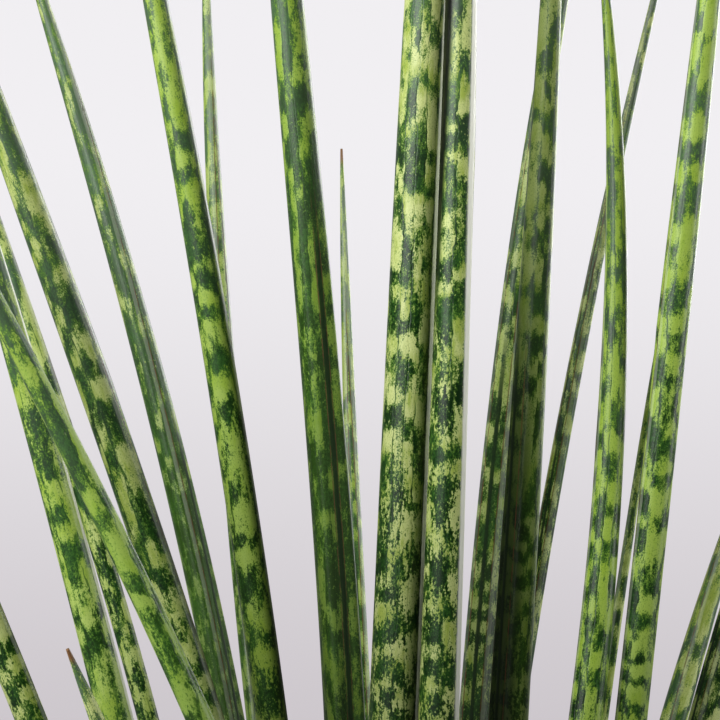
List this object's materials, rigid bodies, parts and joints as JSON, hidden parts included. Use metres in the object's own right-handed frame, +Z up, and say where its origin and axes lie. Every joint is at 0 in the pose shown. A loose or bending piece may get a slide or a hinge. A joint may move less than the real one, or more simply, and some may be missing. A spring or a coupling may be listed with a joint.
{
  "type": "potted snake plant",
  "caption": "Potted snake plant with slender, upright, cylindrical mottled green leaves that stand in soil in a plain round tapered pot.",
  "frame": {"origin": "the centre of the pot's flat underside, on the surface that the pot stands on", "axes": "+Z is up, along the pot's axis; -Y faces the viewer of the reference picture and +X is to that viewer's right"},
  "size_m": [0.4099, 0.2758, 0.7],
  "materials": {
    "leaf": "satin",
    "soil": "matte",
    "pot": "matte"
  },
  "bodies": {
    "root": {"leaf_01": "leaf", "leaf_02": "leaf", "leaf_03": "leaf", "leaf_04": "leaf", "leaf_05": "leaf", "leaf_06": "leaf", "leaf_07": "leaf", "leaf_08": "leaf", "leaf_09": "leaf", "leaf_10": "leaf", "leaf_11": "leaf", "leaf_12": "leaf", "leaf_13": "leaf", "leaf_14": "leaf", "leaf_15": "leaf", "leaf_16": "leaf", "leaf_17": "leaf", "leaf_18": "leaf", "leaf_19": "leaf", "leaf_20": "leaf", "leaf_21": "leaf", "leaf_22": "leaf", "leaf_23": "leaf", "leaf_24": "leaf", "leaf_25": "leaf", "leaf_26": "leaf", "leaf_27": "leaf", "leaf_28": "leaf", "leaf_29": "leaf", "leaf_30": "leaf", "pot": "pot", "soil": "soil"}
  },
  "joints": []
}
